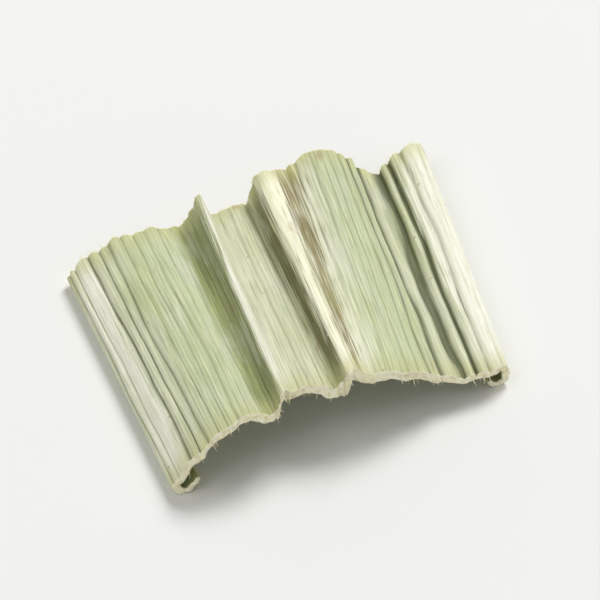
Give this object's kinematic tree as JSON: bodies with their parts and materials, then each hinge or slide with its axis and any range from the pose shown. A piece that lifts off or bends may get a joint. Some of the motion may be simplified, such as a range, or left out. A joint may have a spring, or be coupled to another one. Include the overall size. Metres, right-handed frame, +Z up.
{
  "type": "cut lemongrass sheath piece",
  "caption": "Short crosswise-cut bit of dried lemongrass leaf sheath, pleated and finely ribbed along the fibres, arched over its two curled margins.",
  "frame": {"origin": "on the ground, under the centre of the piece's bounding box", "axes": "+Y along the fibres towards the far cut end, +X across the fibres towards the pleats, +Z up, away from the face the piece rests on"},
  "size_m": [0.0094, 0.0078, 0.0023],
  "materials": {
    "dried_leaf": "dry matte leaf tissue, pale sage green with cream ribs and midrib and brown dry edges"
  },
  "bodies": {
    "root": {"leaf_sheath": "dried_leaf"}
  },
  "joints": []
}
